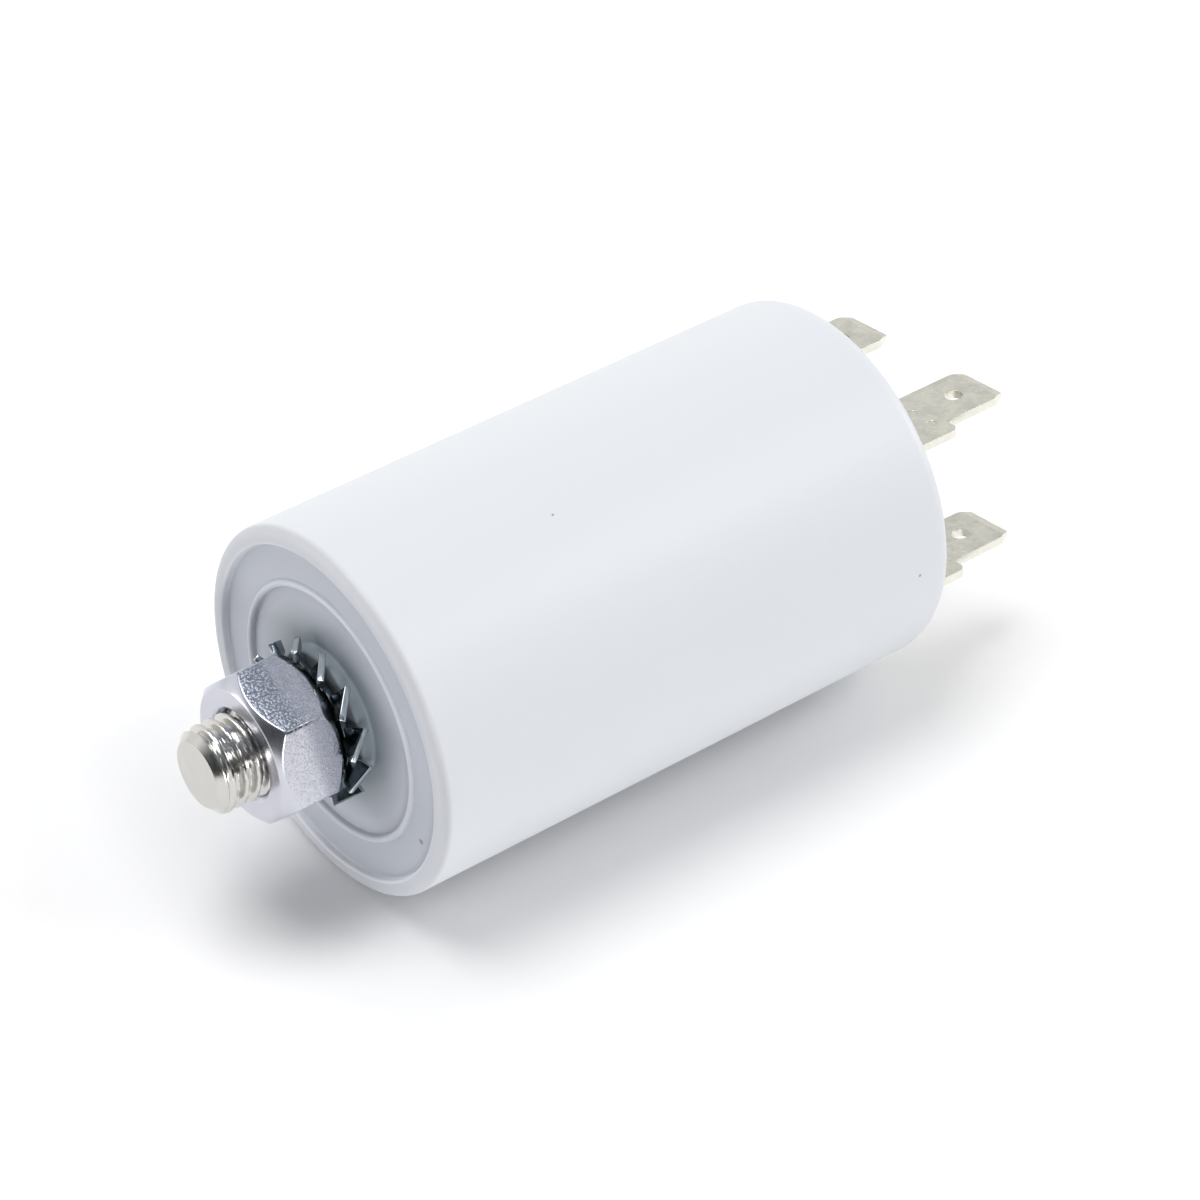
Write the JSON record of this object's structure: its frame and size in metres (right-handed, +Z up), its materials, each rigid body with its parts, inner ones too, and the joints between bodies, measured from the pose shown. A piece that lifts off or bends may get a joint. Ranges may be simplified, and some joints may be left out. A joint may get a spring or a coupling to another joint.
{
  "type": "motor run capacitor",
  "caption": "Motor run capacitor: round white plastic can with a threaded fixing stud, nut and toothed lock washer at its closed end and double push-on tabs in its lid, lying on its side",
  "frame": {"origin": "on the floor line under the can's axis, halfway along the whole part from the stud's tip to the tips of the tabs", "axes": "+X along the can's axis from the stud to the tabs, +Y to the rear terminal's side, +Z up from the floor that the can lies on"},
  "size_m": [0.0826, 0.035, 0.035],
  "materials": {
    "case_plastic": "white moulded thermoplastic, satin",
    "stud_metal": "nickel-plated steel with a rolled thread",
    "zinc_plate": "bright zinc plate with a bluish passivate",
    "tinned_brass": "matt tin plate on brass",
    "metallised_film": "metallised polypropylene film, wound tight",
    "core_plastic": "moulded plastic, matt",
    "sprayed_zinc": "rough sprayed zinc",
    "clear_wrap": "plain film wound on the outside",
    "tinned_copper": "tinned copper wire",
    "lead_sleeve": "plastic insulation",
    "solder": "solder, smooth",
    "resin": "cast polyurethane resin"
  },
  "bodies": {
    "root": {"can": "case_plastic", "lid": "case_plastic", "mounting_stud": "stud_metal", "lock_washer": "zinc_plate", "hex_nut": "zinc_plate", "terminal_front": "tinned_brass", "terminal_rear": "tinned_brass", "rivet_front": "tinned_brass", "rivet_rear": "tinned_brass", "solder_tag_front": "tinned_brass", "solder_tag_rear": "tinned_brass", "film_winding": "metallised_film", "core_tube": "core_plastic", "metal_spray_lower": "sprayed_zinc", "metal_spray_upper": "sprayed_zinc", "winding_wrap": "clear_wrap", "winding_spacer": "core_plastic", "short_lead": "tinned_copper", "long_lead": "tinned_copper", "short_lead_sleeve": "lead_sleeve", "long_lead_sleeve": "lead_sleeve", "solder_upper": "solder", "solder_lower": "solder", "solder_front": "solder", "solder_rear": "solder", "potting_resin": "resin"}
  },
  "joints": []
}
